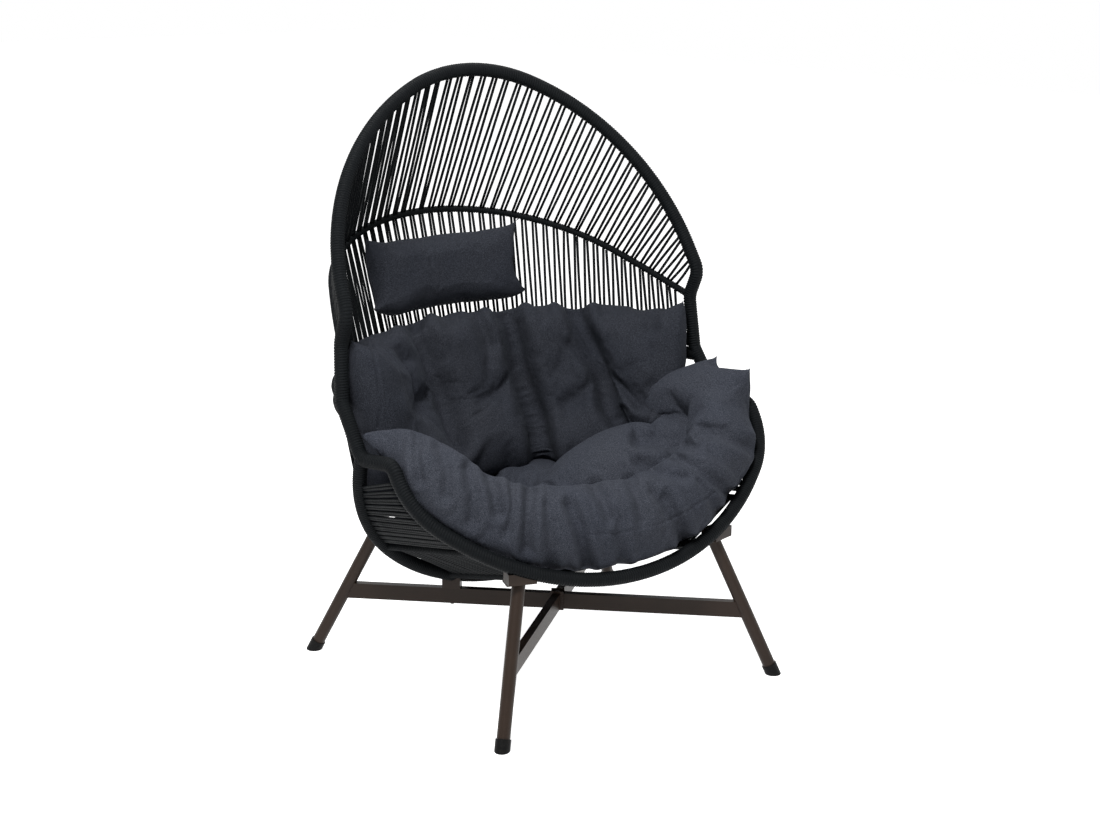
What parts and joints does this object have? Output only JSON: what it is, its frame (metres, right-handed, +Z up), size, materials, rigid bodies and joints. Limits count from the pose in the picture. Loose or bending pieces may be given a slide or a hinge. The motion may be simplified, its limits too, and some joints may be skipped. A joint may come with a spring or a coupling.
{
  "type": "egg chair",
  "caption": "Egg-shaped lounge chair with a corded steel hood and basket on splayed legs, with loose seat, back and head cushions",
  "frame": {"origin": "on the floor, under the middle of the overall box", "axes": "+Z up, the sitter faces -Y, +X to the right seen from the front"},
  "size_m": [1.095, 0.9959, 1.48],
  "materials": {
    "bronze_steel": "satin dark bronze powder coat with a fine grain",
    "foot_plastic": "moulded black plastic, slightly scuffed at the sole",
    "dark_bolts": "blackened steel bolts",
    "wound_cord": "tightly wound charcoal outdoor cord",
    "laced_cord": "taut charcoal outdoor cord, twisted and slightly fuzzy",
    "cushion_fabric": "heathered slate blue-grey woven outdoor fabric, soft and slightly creased"
  },
  "bodies": {
    "root": {"arch_tube": "bronze_steel", "arch_winding": "wound_cord", "back_cords": "laced_cord", "back_cushion": "cushion_fabric", "back_hoop": "bronze_steel", "back_hoop_winding": "wound_cord", "bar_saddle_bolts": "dark_bolts", "bar_saddle_left": "bronze_steel", "bar_saddle_right": "bronze_steel", "basket_seam_hoop": "bronze_steel", "basket_seam_winding": "wound_cord", "bottom_cords": "laced_cord", "cross_bolt": "dark_bolts", "cross_nut": "dark_bolts", "cross_rib": "bronze_steel", "cross_rib_winding": "wound_cord", "crossbar_cradle": "bronze_steel", "crossbar_front_half": "bronze_steel", "crossbar_full": "bronze_steel", "crossbar_rear_half": "bronze_steel", "foot_cap_front_left": "foot_plastic", "foot_cap_front_right": "foot_plastic", "foot_cap_rear_left": "foot_plastic", "foot_cap_rear_right": "foot_plastic", "front_rim": "bronze_steel", "front_rim_winding": "wound_cord", "head_pillow": "cushion_fabric", "hood_seam_hoop": "bronze_steel", "hood_seam_winding": "wound_cord", "keel_left": "bronze_steel", "keel_right": "bronze_steel", "keel_winding_left": "wound_cord", "keel_winding_right": "wound_cord", "leg_front_left": "bronze_steel", "leg_front_right": "bronze_steel", "leg_plate_front_left": "bronze_steel", "leg_plate_front_right": "bronze_steel", "leg_plate_rear_left": "bronze_steel", "leg_plate_rear_right": "bronze_steel", "leg_rear_left": "bronze_steel", "leg_rear_right": "bronze_steel", "leg_saddle_bolts": "dark_bolts", "leg_saddle_front_left": "bronze_steel", "leg_saddle_front_right": "bronze_steel", "leg_saddle_rear_left": "bronze_steel", "leg_saddle_rear_right": "bronze_steel", "lower_cords": "laced_cord", "middle_hoop": "bronze_steel", "middle_hoop_winding": "wound_cord", "rear_bottom_cords": "laced_cord", "seam_bolts": "dark_bolts", "seat_cushion": "cushion_fabric", "side_cords_left": "laced_cord", "side_cords_right": "laced_cord", "side_rail_left": "bronze_steel", "side_rail_right": "bronze_steel", "side_rail_winding_left": "wound_cord", "side_rail_winding_right": "wound_cord", "upper_cords": "laced_cord"}
  },
  "joints": []
}
